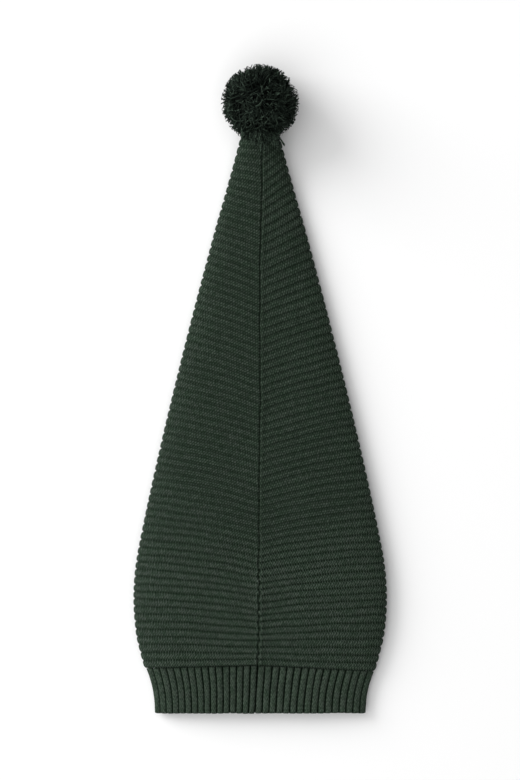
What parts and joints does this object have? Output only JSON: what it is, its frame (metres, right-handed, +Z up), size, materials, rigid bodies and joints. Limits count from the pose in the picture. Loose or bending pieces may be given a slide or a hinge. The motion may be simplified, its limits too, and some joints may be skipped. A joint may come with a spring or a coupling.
{
  "type": "elf hat",
  "caption": "Knitted elf hat lying flat: a long pointed crown in round ridges with a back seam, a ribbed cuff and a yarn pompom.",
  "frame": {"origin": "on the surface that the hat lies on, under the middle of the hat's box", "axes": "+Z up through the back of the hat, which lies on top; +Y along the hat from the cuff's hem to the pompom; +X across it"},
  "size_m": [0.2538, 0.6478, 0.0734],
  "materials": {
    "ridge_knit": "fine wool knit in round ridges, dark forest green, matt",
    "rib_knit": "ribbed wool knit, dark forest green, matt",
    "pompom_yarn": "cut yarn ends, dark forest green, matt"
  },
  "bodies": {
    "root": {"crown": "ridge_knit", "cuff": "rib_knit", "pompom": "pompom_yarn"}
  },
  "joints": []
}
